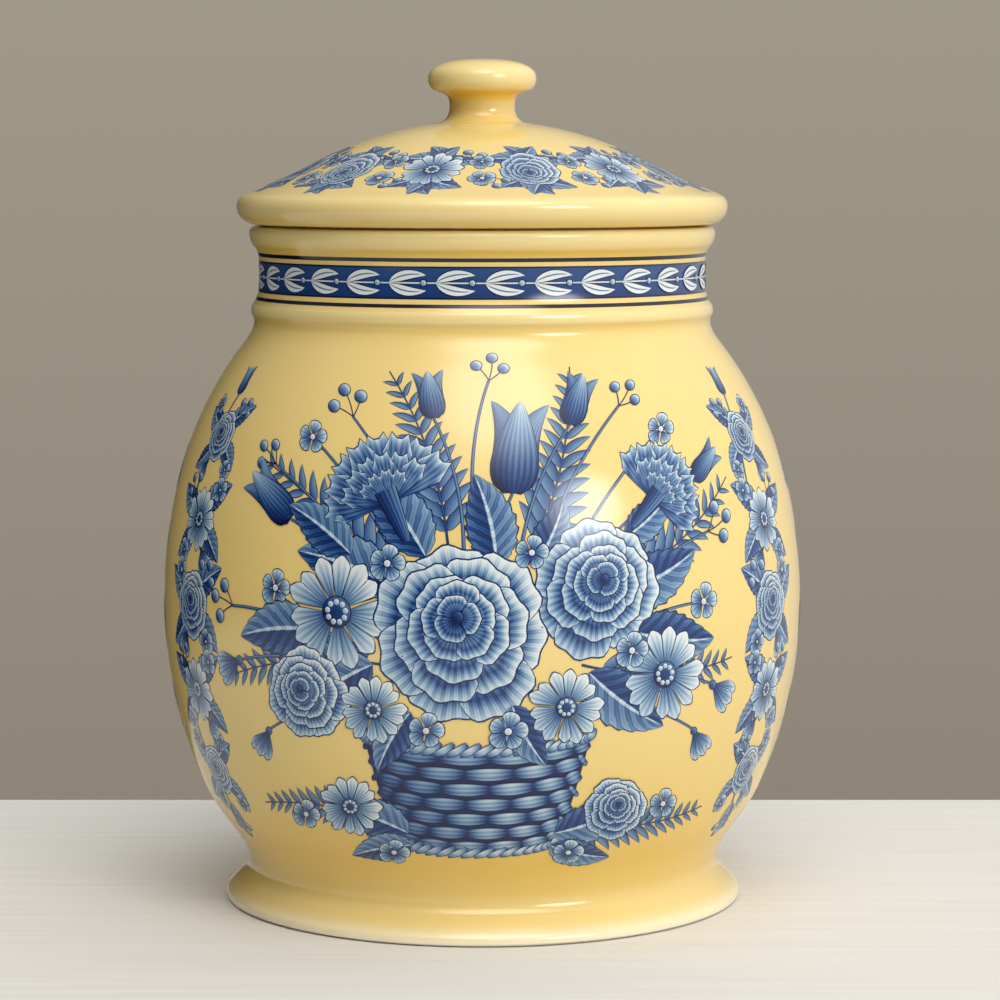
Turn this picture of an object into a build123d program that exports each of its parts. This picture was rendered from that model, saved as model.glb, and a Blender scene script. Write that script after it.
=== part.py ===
from build123d import *
import os
from math import cos, radians, sin, sqrt

# Lidded earthenware canister. Every piece is turned about Z, and the jar stands on z = 0.
# All lengths are in millimetres.

# Jar, foot
foot_radius = 71.9
foot_lip_height = 2.4
foot_lip_round = 3.0
foot_edge_round = 0.8
foot_ring_width = 7.0
foot_recess_depth = 3.5
foot_recess_round = 1.5
crease_inset = 7.2
crease_height = 9.7
crease_round = 1.2

# Jar, belly
belly_radius = 88.3
belly_wall = 5.2
cove_height = 12.2
haunch_height = 10.9
lower_belly_height = 49.7
upper_belly_height = 30.0
shoulder_height = 42.5
belly_foot_share = 0.27
haunch_share = 0.552
belly_top_share = 0.88
shoulder_end_share = 0.108
floor_thickness = 7.0
floor_round = 9.0
inner_shoulder_round = 6.0

# Jar, neck and rim
neck_radius = 61.9
neck_wall = 5.5
neck_hollow = 0.5
neck_cove_height = 5.4
groove_proud = 0.75
groove_round = 0.8
bead_proud = 1.85
bead_height = 6.4
neck_height = 13.6
rim_proud = 2.35
rim_height = 6.8
rim_widest_share = 0.57
rim_cove_round = 3.0
rim_land_inset = 1.65
mouth_round = 1.6

# Lid
lid_overhang = 3.35
lid_rise = 28.0
lid_wall = 5.5
lid_inner_round = 5.0
roll_radius = 4.1
roll_meet_angle = 70
dome_edge_share = 0.68
dome_drop_share = 0.41
flange_gap = 1.4
flange_wall = 6.5
flange_lip = 3.9
flange_round = 1.2

# Knob
knob_radius = 14.9
knob_base_radius = 13.5
stem_radius = 9.0
stem_flare_height = 4.34
stem_height = 1.3
cap_cove_reach = 2.6
cap_cove_height = 3.0
cap_lower_height = 3.5
cap_upper_height = 4.5
crown_height = 1.1
crown_share = 0.765

# Seal
seal_height = 8.0
seal_drop = 4.5
seal_band = 1.3
seal_groove_depth = 2.4
fin_count = 3
fin_root = 1.5
fin_tip = 0.8
fin_rake = 0.6
running_gap = 0.3

# Length that a cutting profile runs past the face it opens
overrun = 5.0


def round_corner(outline, point, radius):
    """Round the corner of an outline that lies nearest to a point."""
    fillet(outline.vertices().sort_by_distance(point)[0], radius=radius)


def one_wall_in(point, arc):
    """The point one belly wall inside a point of an outer arc."""
    return Vector(*point) - (Vector(*point) - arc.arc_center).normalized() * belly_wall


# Heights of the jar's outline, stacked from the table up
belly_foot_z = crease_height + cove_height
haunch_z = belly_foot_z + haunch_height
equator_z = haunch_z + lower_belly_height
belly_top_z = equator_z + upper_belly_height
shoulder_end_z = belly_top_z + shoulder_height
groove_z = shoulder_end_z + neck_cove_height
neck_z = groove_z + bead_height
rim_z = neck_z + neck_height
seat_z = rim_z + rim_height

# Radii of the jar's outline
crease_radius = foot_radius - crease_inset
groove_radius = neck_radius + groove_proud
foot_span = belly_radius - crease_radius
shoulder_span = belly_radius - groove_radius
rim_radius = neck_radius + rim_proud
rim_land_radius = rim_radius - rim_land_inset
mouth_radius = neck_radius - neck_wall

# Turning points of the jar's outline
lip_top = (foot_radius, foot_lip_height)
crease = (crease_radius, crease_height)
belly_foot = (crease_radius + belly_foot_share * foot_span, belly_foot_z)
haunch_point = (crease_radius + haunch_share * foot_span, haunch_z)
equator = (belly_radius, equator_z)
belly_top = (groove_radius + belly_top_share * shoulder_span, belly_top_z)
shoulder_end = (groove_radius + shoulder_end_share * shoulder_span, shoulder_end_z)
groove = (groove_radius, groove_z)
bead_crest = (neck_radius + bead_proud, groove_z + bead_height / 2)
neck_foot = (neck_radius, neck_z)
neck_waist = (neck_radius - neck_hollow, neck_z + neck_height / 2)
rim_foot = (neck_radius, rim_z)
rim_crest = (rim_radius, rim_z + rim_widest_share * rim_height)
rim_top = (rim_land_radius, seat_z)

# Jar: flared foot, swelling belly, groove and bead, hollow neck and rolled rim, in one piece
with BuildPart() as jar_body:
    with BuildSketch(Plane.XZ) as jar_outline:
        with BuildLine():
            Polyline((0, seat_z), (0, 0), (foot_radius, 0), lip_top, crease)
            lower_belly = TangentArc(equator, haunch_point, tangent=(0, -1))
            haunch = TangentArc(haunch_point, belly_foot, tangent=lower_belly % 1)
            TangentArc(belly_foot, crease, tangent=haunch % 1)
            upper_belly = TangentArc(equator, belly_top, tangent=(0, 1))
            shoulder = TangentArc(belly_top, shoulder_end, tangent=upper_belly % 1)
            TangentArc(shoulder_end, groove, tangent=shoulder % 1)
            ThreePointArc(groove, bead_crest, neck_foot)
            ThreePointArc(neck_foot, neck_waist, rim_foot)
            ThreePointArc(rim_foot, rim_crest, rim_top)
            Line(rim_top, (0, seat_z))
        make_face()
        round_corner(jar_outline, (foot_radius, 0), foot_edge_round)
        round_corner(jar_outline, lip_top, foot_lip_round)
        round_corner(jar_outline, crease, crease_round)
        round_corner(jar_outline, groove, groove_round)
        round_corner(jar_outline, neck_foot, groove_round)
        round_corner(jar_outline, rim_foot, rim_cove_round)
    revolve(axis=Axis.Z)

    # The inside runs parallel to the belly, one wall in. It goes straight down from the haunch to
    # the floor, and the shoulder ends in the straight bore of the neck.
    inner_equator = (belly_radius - belly_wall, equator_z)
    inner_haunch = one_wall_in(haunch_point, lower_belly)
    inner_foot = one_wall_in(belly_foot, haunch)
    inner_belly_top = one_wall_in(belly_top, upper_belly)
    floor_z = foot_recess_depth + floor_thickness
    floor_run = haunch % 1
    floor_corner = inner_foot + floor_run * ((floor_z - inner_foot.Y) / floor_run.Y)
    bore_reach = mouth_radius - shoulder.arc_center.X
    bore_z = shoulder.arc_center.Y + sqrt((shoulder.radius - belly_wall) ** 2 - bore_reach**2)
    with BuildSketch(Plane.XZ) as jar_hollow:
        with BuildLine():
            inner_lower = TangentArc(inner_equator, inner_haunch, tangent=(0, -1))
            TangentArc(inner_haunch, inner_foot, tangent=inner_lower % 1)
            Polyline(inner_foot, floor_corner, (0, floor_z), (0, seat_z + overrun))
            inner_upper = TangentArc(inner_equator, inner_belly_top, tangent=(0, 1))
            TangentArc(inner_belly_top, (mouth_radius, bore_z), tangent=inner_upper % 1)
            Polyline((mouth_radius, bore_z), (mouth_radius, seat_z + overrun), (0, seat_z + overrun))
        make_face()
        round_corner(jar_hollow, floor_corner, floor_round)
        round_corner(jar_hollow, (mouth_radius, bore_z), inner_shoulder_round)
    revolve(axis=Axis.Z, mode=Mode.SUBTRACT)

    # The base is recessed, so the jar stands on a bare ring
    recess_radius = foot_radius - foot_ring_width
    with BuildSketch(Plane.XY):
        Circle(recess_radius)
    extrude(amount=foot_recess_depth, mode=Mode.SUBTRACT)
    recess_edges = jar_body.edges().filter_by(GeomType.CIRCLE)
    fillet(recess_edges.sort_by_distance((recess_radius, 0, foot_recess_depth))[0], radius=foot_recess_round)
    mouth_edges = jar_body.edges().filter_by(GeomType.CIRCLE)
    fillet(mouth_edges.sort_by_distance((mouth_radius, 0, seat_z))[0], radius=mouth_round)

# Sizes of the lid, which follow the jar's mouth and rim
lid_radius = rim_radius + lid_overhang
roll_centre = (lid_radius - roll_radius, seat_z + roll_radius)
roll_meet = (
    roll_centre[0] + roll_radius * cos(radians(roll_meet_angle)),
    roll_centre[1] + roll_radius * sin(radians(roll_meet_angle)),
)
dome_top_z = seat_z + lid_rise
dome_edge_radius = dome_edge_share * lid_radius
dome_drop = dome_drop_share * lid_rise
dome_sphere = (dome_edge_radius**2 + dome_drop**2) / (2 * dome_drop)
dome_centre_z = dome_top_z - dome_sphere
knob_seat_z = dome_centre_z + sqrt(dome_sphere**2 - knob_base_radius**2)
flange_radius = mouth_radius - flange_gap
flange_inner_radius = flange_radius - flange_wall
seal_groove_top_z = seat_z - seal_drop
seal_groove_height = seal_height + running_gap
seal_groove_z = seal_groove_top_z - seal_groove_height
seal_groove_radius = flange_radius - seal_groove_depth
flange_z = seal_groove_z - flange_lip
inner_sphere = dome_sphere - lid_wall
inner_corner = (flange_inner_radius, dome_centre_z + sqrt(inner_sphere**2 - flange_inner_radius**2))

# Lid: hollow dome with a half-round edge, a flat seat, and a flange grooved for the seal
with BuildPart() as lid:
    with BuildSketch(Plane.XZ):
        with BuildLine():
            dome = TangentArc((0, dome_top_z), (dome_edge_radius, dome_top_z - dome_drop), tangent=(1, 0))
            TangentArc(dome @ 1, roll_meet, tangent=dome % 1)
            CenterArc(roll_centre, roll_radius, -90, roll_meet_angle + 90)
            Polyline(
                (roll_centre[0], seat_z),
                (flange_radius, seat_z),
                (flange_radius, flange_z),
                (0, flange_z),
                (0, dome_top_z),
            )
        make_face()
    revolve(axis=Axis.Z)

    with BuildSketch(Plane.XZ) as lid_hollow:
        with BuildLine():
            TangentArc((0, dome_top_z - lid_wall), inner_corner, tangent=(1, 0))
            Polyline(
                inner_corner,
                (flange_inner_radius, flange_z - overrun),
                (0, flange_z - overrun),
                (0, dome_top_z - lid_wall),
            )
        make_face()
        round_corner(lid_hollow, inner_corner, lid_inner_round)
    revolve(axis=Axis.Z, mode=Mode.SUBTRACT)
    fillet(lid.faces().sort_by(Axis.Z)[0].edges(), radius=flange_round)

    with BuildSketch(Plane.XY.offset(seal_groove_z)):
        Circle(flange_radius + overrun)
        Circle(seal_groove_radius, mode=Mode.SUBTRACT)
    extrude(amount=seal_groove_height, mode=Mode.SUBTRACT)

    # Flat on the crown where the knob is stuck on
    with BuildSketch(Plane.XY.offset(knob_seat_z)):
        Circle(knob_base_radius)
    extrude(amount=lid_rise, mode=Mode.SUBTRACT)

# Heights of the knob's outline, stacked from its seat up
stem_z = knob_seat_z + stem_flare_height
cap_cove_z = stem_z + stem_height
cap_z = cap_cove_z + cap_cove_height
cap_widest_z = cap_z + cap_lower_height
crown_z = cap_widest_z + cap_upper_height
knob_top_z = crown_z + crown_height

# Knob: waisted stem under a mushroom cap
with BuildPart() as lid_knob:
    with BuildSketch(Plane.XZ):
        with BuildLine():
            cap_foot = (stem_radius + cap_cove_reach, cap_z)
            cap_widest = (knob_radius, cap_widest_z)
            Polyline((0, knob_top_z), (0, knob_seat_z), (knob_base_radius, knob_seat_z))
            TangentArc((stem_radius, stem_z), (knob_base_radius, knob_seat_z), tangent=(0, -1))
            Line((stem_radius, stem_z), (stem_radius, cap_cove_z))
            TangentArc((stem_radius, cap_cove_z), cap_foot, tangent=(0, 1))
            TangentArc(cap_widest, cap_foot, tangent=(0, -1))
            crown = TangentArc((0, knob_top_z), (crown_share * knob_radius, crown_z), tangent=(1, 0))
            TangentArc(crown @ 1, cap_widest, tangent=crown % 1)
        make_face()
    revolve(axis=Axis.Z)

# Sizes of the seal, between the floor of its groove and the bore of the neck
seal_inner_radius = seal_groove_radius + running_gap
seal_band_radius = seal_inner_radius + seal_band
seal_radius = mouth_radius - running_gap
fin_pitch = seal_height / fin_count

# Seal: a band with raked fins that wipe the bore
with BuildPart() as lid_seal:
    with BuildSketch(Plane.XZ):
        with Locations((seal_inner_radius, seal_groove_z)):
            Rectangle(seal_band, seal_height, align=(Align.MIN, Align.MIN))
        for fin in range(fin_count):
            fin_z = seal_groove_z + (fin + 0.5) * fin_pitch
            with BuildLine():
                Polyline(
                    (seal_band_radius, fin_z - fin_root / 2),
                    (seal_radius, fin_z + fin_rake - fin_tip / 2),
                    (seal_radius, fin_z + fin_rake + fin_tip / 2),
                    (seal_band_radius, fin_z + fin_root / 2),
                    close=True,
                )
            make_face()
    revolve(axis=Axis.Z)

os.makedirs("parts", exist_ok=True)
jar_body.part.label = "jar_body"
lid.part.label = "lid"
lid_knob.part.label = "lid_knob"
lid_seal.part.label = "lid_seal"
export_step(jar_body.part, "parts/jar_body.step")
export_step(lid.part, "parts/lid.step")
export_step(lid_knob.part, "parts/lid_knob.step")
export_step(lid_seal.part, "parts/lid_seal.step")
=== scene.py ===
from math import atan2, ceil, cos, hypot, pi, radians, sin

import bpy
import numpy as np
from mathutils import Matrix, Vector


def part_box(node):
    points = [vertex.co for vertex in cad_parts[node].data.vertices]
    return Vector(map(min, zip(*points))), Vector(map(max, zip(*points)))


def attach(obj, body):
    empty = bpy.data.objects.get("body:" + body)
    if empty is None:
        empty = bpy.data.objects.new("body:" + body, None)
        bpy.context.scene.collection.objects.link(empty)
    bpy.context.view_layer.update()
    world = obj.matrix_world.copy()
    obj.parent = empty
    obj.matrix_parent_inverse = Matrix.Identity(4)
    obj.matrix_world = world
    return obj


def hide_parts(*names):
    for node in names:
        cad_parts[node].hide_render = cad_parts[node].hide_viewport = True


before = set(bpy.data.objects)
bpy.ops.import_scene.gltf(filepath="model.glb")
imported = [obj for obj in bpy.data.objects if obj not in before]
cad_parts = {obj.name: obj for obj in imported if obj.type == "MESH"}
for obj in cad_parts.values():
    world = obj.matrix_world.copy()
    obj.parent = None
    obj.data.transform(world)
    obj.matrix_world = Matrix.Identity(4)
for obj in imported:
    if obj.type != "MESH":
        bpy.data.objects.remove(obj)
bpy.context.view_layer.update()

# Jar
# One thick-walled earthenware pot, slip cast and then turned on a wheel. It is dipped in a clear yellow
# glaze that thins to a creamy colour on its beads, which also holds a painted sheen there, and gathers to a
# deep gold in its grooves, which also holds painted shade there. The same deep gold is painted on faces
# that look down, as painted shade and bounce light, and the band along the foot's bottom edge is paled as
# thin glaze and as a painted reflection of the floor.
# The foot ring and the land under the lid are wiped bare before the firing.

foot_radius = 0.0719
foot_lip = 0.0024
foot_bevel = (0.0016, 0.0006)
crease = (0.0647, 0.0097)
belly_foot = (0.07107, 0.0219)
haunch = (0.07773, 0.0328)
equator = (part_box("jar_body")[1].x, 0.0825)
belly_top = (0.08522, 0.1125)
shoulder_end = (0.06542, 0.1550)
groove = (0.06265, 0.1604)
bead_crest = (0.06375, 0.1636)
neck_foot = (0.0619, 0.1668)
neck_waist = (0.0614, 0.1736)
rim_foot = (0.0619, 0.1797)
rim_crest = (0.0642, 0.18455)
seat_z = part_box("jar_body")[1].z
rim_top = (0.0623, seat_z - 0.00085)
land_edge = (0.0594, seat_z)
mouth_radius = 0.0564
belly_wall = 0.0052
floor_z = 0.0105
recess_radius = 0.0649
recess_depth = 0.0035
wipe_inside, wipe_outside, wipe_margin = 0.0008, 0.0011, 0.0006


def line(start, end, step=0.002):
    """Points along a straight run of an outline, as (radius, height)."""
    start, end = np.array(start), np.array(end)
    count = ceil(np.linalg.norm(end - start) / step)
    return start + (end - start) * np.linspace(0, 1, count + 1)[:, None]


def arc(start, end, heading, step=0.002, most_turn=radians(6)):
    """Points along the arc that leaves start along a heading and arrives at end, and its last heading."""
    start, end, heading = np.array(start), np.array(end), np.array(heading)
    side = np.array((-heading[1], heading[0]))
    chord = end - start
    centre = start + side * (chord @ chord) / (2 * chord @ side)
    turn = 2 * atan2(chord @ side, chord @ heading)
    length = abs(turn) * np.linalg.norm(start - centre)
    angles = np.linspace(0, turn, ceil(max(length / step, abs(turn) / most_turn)) + 1)
    spoke, across = start - centre, np.array((centre[1] - start[1], start[0] - centre[0]))
    points = centre + np.outer(np.cos(angles), spoke) + np.outer(np.sin(angles), across)
    return points, heading * cos(turn) + side * sin(turn)


def arc_through(start, middle, end):
    """Points along the arc through three points."""
    (ax, ay), (bx, by), (cx, cy) = start, middle, end
    span = 2 * (ax * (by - cy) + bx * (cy - ay) + cx * (ay - by))
    a, b, c = ax * ax + ay * ay, bx * bx + by * by, cx * cx + cy * cy
    centre = np.array((a * (by - cy) + b * (cy - ay) + c * (ay - by),
                       a * (cx - bx) + b * (ax - cx) + c * (bx - ax))) / span
    spoke = (np.array(start) - centre) / np.linalg.norm(np.array(start) - centre)
    heading = np.array((-spoke[1], spoke[0]))
    if heading @ (np.array(middle) - np.array(start)) < 0:
        heading = -heading
    return arc(start, end, heading)[0]


def joined(*runs):
    """One outline from runs that meet end to end."""
    return np.concatenate([runs[0]] + [run[1:] for run in runs[1:]])


def path(*corners, step=0.002):
    """Points along straight runs from corner to corner."""
    return joined(*[line(start, end, step) for start, end in zip(corners, corners[1:])])


def soften(outline, corner, reach, count=6):
    """The outline with a corner rounded off, from reach before it to reach after it."""
    apart = np.linalg.norm(outline - np.array(corner), axis=1)
    at = int(apart.argmin())
    before = np.flatnonzero(apart[:at] > reach)[-1] + 1
    after = at + np.flatnonzero(apart[at:] > reach)[0]
    first = corner + (outline[before - 1] - corner) * reach / apart[before - 1]
    last = corner + (outline[after] - corner) * reach / apart[after]
    t = np.linspace(0, 1, count + 1)[:, None]
    bend = (1 - t) ** 2 * first + 2 * t * (1 - t) * np.array(corner) + t**2 * last
    return np.concatenate((outline[:before], bend, outline[after:]))


class Turned:
    """A surface turned about Z. Azimuth 0 is the front, and along is the length run on its outline.

    It is true where it fits another piece, and a little uneven between two heights."""

    # Slight unevenness left by the hand at the wheel: waves round, waves along, phase and height
    waves = ((2, 35.0, 0.4, 4e-5), (3, -58.0, 1.9, 3e-5), (5, 90.0, 4.1, 2e-5), (7, -130.0, 2.6, 1.2e-5))
    edge_fade, axis_fade = 0.008, 0.04

    def __init__(self, outline, uneven):
        self.uneven = uneven
        lengths = np.linalg.norm(np.diff(outline, axis=0), axis=1)
        self.along = np.concatenate(((0.0,), np.cumsum(lengths)))
        self.radius, self.height = outline[:, 0], outline[:, 1]
        self.run_r, self.run_z = np.gradient(outline, self.along, axis=0).T
        length = np.hypot(self.run_r, self.run_z)
        self.run_r, self.run_z = self.run_r / length, self.run_z / length

    def find(self, point):
        """How far along the outline its nearest place to a point is."""
        return self.along[np.hypot(self.radius - point[0], self.height - point[1]).argmin()]

    def at(self, azimuth, along, lift=0.0):
        """Points of the surface, raised by lift, and the normals there."""
        r, z, run_r, run_z = (
            np.interp(along, self.along, values)
            for values in (self.radius, self.height, self.run_r, self.run_z)
        )
        low, high = self.uneven
        fade = np.clip((z - low) / self.edge_fade, 0, 1) * np.clip((high - z) / self.edge_fade, 0, 1)
        fade = fade * np.clip(r / self.axis_fade, 0, 1)
        rise, round_slope, along_slope = 0.0, 0.0, 0.0
        for turns, rate, phase, size in self.waves:
            rise = rise + fade * size * np.sin(turns * azimuth + rate * along + phase)
            slope = fade * size * np.cos(turns * azimuth + rate * along + phase)
            round_slope = round_slope + turns * slope / np.maximum(r, 1e-4)
            along_slope = along_slope + rate * slope
        normal_r, normal_z = run_z - along_slope * run_r, -run_r - along_slope * run_z
        out = np.stack((np.sin(azimuth), -np.cos(azimuth), np.zeros_like(azimuth)), -1)
        sideways = np.stack((np.cos(azimuth), np.sin(azimuth), np.zeros_like(azimuth)), -1)
        up = np.array((0.0, 0.0, 1.0))
        normal = out * normal_r[..., None] + up * normal_z[..., None] - sideways * round_slope[..., None]
        normal = normal / np.linalg.norm(normal, axis=-1, keepdims=True)
        flat = out * run_z[..., None] - up * run_r[..., None]
        place = out * r[..., None] + up * z[..., None] + flat * np.asarray(rise + lift)[..., None]
        return place, normal

    def swell(self, blur=0.0012, tight=0.0018):
        """How round the outline is: 1 on a bead of a tight radius, 0 on a flat, -1 in such a groove."""
        turn = np.gradient(np.unwrap(np.arctan2(self.run_z, self.run_r)), self.along)
        gaps = (self.along[:, None] - self.along[None, :]) / blur
        weight = np.exp(-gaps * gaps) * np.gradient(self.along)[None, :]
        return np.clip((weight @ turn) / weight.sum(1) * tight, -1, 1)


def in_scene(name, data):
    """A new object of the scene, from a mesh, a light or a camera."""
    made = bpy.data.objects.new(name, data)
    bpy.context.scene.collection.objects.link(made)
    return made


def turned_piece(name, surface, finish, bare=(), segments=240):
    """The mesh of a turned surface, whose outline starts and ends on the axis or closes on itself."""
    azimuths = np.arange(segments) * 2 * pi / segments
    on_axis = surface.radius < 1e-6
    closed = bool(np.allclose(surface.radius[0], surface.radius[-1]) and not on_axis[0])
    rings = len(surface.along) - closed
    places, first, counts = [], [], []
    for ring in range(rings):
        count = 1 if on_axis[ring] else segments
        first.append(sum(counts))
        counts.append(count)
        places.append(surface.at(azimuths[:count], np.full(count, surface.along[ring]))[0])
    faces, spots = [], []
    for ring in range(rings - (not closed)):
        other = (ring + 1) % rings
        low, high = surface.along[ring], surface.along[ring + 1]
        for s in range(segments):
            corners = ((ring, s, low), (ring, s + 1, low), (other, s + 1, high), (other, s, high))
            if counts[ring] == 1:
                corners = (corners[0], corners[2], corners[3])
            elif counts[other] == 1:
                corners = corners[:3]
            faces.append([
                first[k] + (column % segments if counts[k] > 1 else 0) for k, column, _ in corners
            ])
            spots += [(column / segments, length / surface.along[-1]) for _, column, length in corners]
    mesh = bpy.data.meshes.new(name)
    mesh.from_pydata(np.concatenate(places), [], faces)
    mesh.shade_smooth()
    mesh.uv_layers.new(name="OFBake").uv.foreach_set("vector", np.array(spots, np.float32).ravel())
    wiped = np.zeros(len(surface.along))
    for low, high in bare:
        wiped[(surface.along > low) & (surface.along < high)] = 1.0
    for title, values in (("swell", surface.swell()), ("bare", wiped)):
        kept = mesh.attributes.new(title, "FLOAT", "POINT")
        kept.data.foreach_set("value", np.repeat(values[:rings], counts).astype(np.float32))
    mesh.materials.append(finish.material)
    return in_scene(name, mesh)


class Tone:
    """An output of a node, used as a number in sums."""

    def __init__(self, nodes, socket):
        self.nodes, self.socket = nodes, socket

    def maths(self, operation, a, b):
        return self.nodes.node("ShaderNodeMath", {"operation": operation}, {0: a, 1: b})

    def __add__(self, other):
        return self.maths("ADD", self, other)

    def __sub__(self, other):
        return self.maths("SUBTRACT", self, other)

    def __rsub__(self, other):
        return self.maths("SUBTRACT", other, self)

    def __mul__(self, other):
        return self.maths("MULTIPLY", self, other)

    __radd__ = __add__
    __rmul__ = __mul__


class Nodes:
    """The nodes of a material, a light or the world."""

    def __init__(self, tree):
        self.tree = tree

    def set(self, socket, value):
        if isinstance(value, Tone):
            self.tree.links.new(value.socket, socket)
        else:
            socket.default_value = value

    def node(self, kind, settings=None, inputs=None, output=0):
        """A node of any kind: its settings come first, then the values or links of its sockets."""
        made = self.tree.nodes.new(kind)
        for name, value in (settings or {}).items():
            if name == "stops":
                while len(made.color_ramp.elements) < len(value):
                    made.color_ramp.elements.new(1.0)
                for element, (position, colour) in zip(made.color_ramp.elements, value):
                    element.position, element.color = position, (*colour, 1.0)
            else:
                setattr(made, name, value)
        for name, value in (inputs or {}).items():
            self.set(made.inputs[name], value)
        return Tone(self, made.outputs[output])

    def blended(self, share, first, second):
        """The first colour where share is 0 and the second where it is 1."""
        return self.node("ShaderNodeMix", {"data_type": "RGBA"}, {0: share, 6: first, 7: second}, output=2)

    def eased(self, value, low, high):
        """0 up to low, 1 from high on, and a smooth step between them."""
        inputs = {"Value": value, "From Min": low, "From Max": high}
        return self.node("ShaderNodeMapRange", {"interpolation_type": "SMOOTHSTEP"}, inputs)


class Finish(Nodes):
    """A material and its shader, whose sockets are named with _ for a space."""

    def __init__(self, name, **values):
        self.material = bpy.data.materials.new(name)
        self.material.use_nodes = True
        super().__init__(self.material.node_tree)
        self.give(**values)

    def give(self, **values):
        """Sets sockets of the shader, to plain values or to tones that vary over the piece."""
        for socket, value in values.items():
            self.set(self.tree.nodes["Principled BSDF"].inputs[socket.replace("_", " ")], value)

    def painted(self, title):
        """A value that the mesh carries at its points."""
        return self.node("ShaderNodeAttribute", {"attribute_name": title}, output="Fac")


butter = (0.768, 0.578, 0.205, 1.0)
# A creamy colour for glaze thinned on beads and rims, partly a painted sheen on those convex edges
cream_edge_and_sheen = (0.80, 0.640, 0.290, 1.0)
# A deep gold for glaze pooled in grooves, partly painted shade there, and painted shade and bounce light
# where the glaze faces down
ochre_pool_and_shade = (0.76, 0.487, 0.070, 1.0)
# A pale colour for thin glaze on the foot's bottom band, partly a painted reflection of the bright floor
thin_glaze_and_floor_glow = (0.83, 0.74, 0.53, 1.0)
biscuit = (0.74, 0.66, 0.53, 1.0)
speck_brown = (0.30, 0.17, 0.05, 1.0)

glaze = Finish("buttercup_glaze", IOR=1.58)
where = glaze.node("ShaderNodeTexCoord", output="Object")
drift = glaze.node("ShaderNodeTexNoise", None, {"Vector": where, "Scale": 22.0, "Detail": 3.0})
grain = glaze.node("ShaderNodeTexNoise", None, {"Vector": where, "Scale": 900.0, "Detail": 2.0})
round_share = glaze.painted("swell")
# Convex beads, rolls and rims turn creamy: thinner glaze and a painted sheen
yellow = glaze.blended(glaze.eased(round_share + 0.5 * drift, 0.20, 0.95), butter, cream_edge_and_sheen)
glaze_height = glaze.node("ShaderNodeSeparateXYZ", None, {0: where}, output="Z")
# Painted shade: faces that look down, and grooves, turn deep gold for shade and yellow bounce light, mixed
# with real pooled glaze in the grooves
facing = glaze.node("ShaderNodeNewGeometry", output="Normal")
underside = -1 * glaze.node("ShaderNodeSeparateXYZ", None, {0: facing}, output="Z")
drift_and_underside_shade = 0.25 * drift + 0.8 * glaze.eased(underside, -0.05, 0.75)
yellow = glaze.blended(glaze.eased(drift_and_underside_shade - 0.8 * round_share, 0.25, 1.15), yellow, ochre_pool_and_shade)
# The lowest few millimetres of the foot turn pale: thin glaze and a painted reflection of the floor
yellow = glaze.blended(0.9 - 0.9 * glaze.eased(glaze_height, 0.0005, 0.006), yellow, thin_glaze_and_floor_glow)
cells = {"Vector": where, "Scale": 95.0}
cell_distance = glaze.node("ShaderNodeTexVoronoi", None, cells)
cell_chance = glaze.node("ShaderNodeTexVoronoi", None, cells, output="Color")
speck = (1 - glaze.eased(cell_distance, 0.010, 0.028)) * glaze.eased(cell_chance, 0.72, 0.74)
yellow = glaze.blended(0.55 * speck, yellow, speck_brown)
wiped = glaze.eased(glaze.painted("bare") + 0.35 * grain, 0.55, 0.75)
glaze.give(Base_Color=glaze.blended(wiped, yellow, biscuit), Roughness=0.11 + 0.05 * drift + 0.55 * wiped)

down, up = (0.0, -1.0), (0.0, 1.0)
lower_belly, low_heading = arc(equator, haunch, down)
haunch_run, haunch_heading = arc(haunch, belly_foot, low_heading)
cove_run, _ = arc(belly_foot, crease, haunch_heading)
upper_belly, high_heading = arc(equator, belly_top, up)
shoulder_run, shoulder_heading = arc(belly_top, shoulder_end, high_heading)
neck_cove, _ = arc(shoulder_end, groove, shoulder_heading)
recess_top, recess_foot = (recess_radius, recess_depth), (recess_radius, 0)
foot_edge, bevel_top = (foot_radius - foot_bevel[0], 0), (foot_radius, foot_bevel[1])
lip_top = (foot_radius, foot_lip)
jar_outside = joined(
    line((0, recess_depth), recess_top, 0.004),
    path(recess_top, recess_foot, foot_edge, bevel_top, lip_top, crease),
    cove_run[::-1],
    haunch_run[::-1],
    lower_belly[::-1],
    upper_belly,
    shoulder_run,
    neck_cove,
    arc_through(groove, bead_crest, neck_foot),
    arc_through(neck_foot, neck_waist, rim_foot),
    arc(rim_crest, rim_foot, down)[0][::-1],
    arc(rim_crest, rim_top, up)[0],
)
for corner, reach in (
    (recess_top, 0.0015),
    (recess_foot, 0.0005),
    (foot_edge, 0.0003),
    (bevel_top, 0.0004),
    (lip_top, 0.0010),
    (crease, 0.0030),
    (groove, 0.0018),
    (neck_foot, 0.0024),
    (rim_foot, 0.0014),
):
    jar_outside = soften(jar_outside, corner, reach)


def inset(point, heading):
    """The place inside the belly's wall, square in from a point of its outside."""
    return np.array(point) - belly_wall * np.sign(heading[1]) * np.array((heading[1], -heading[0]))


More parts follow.
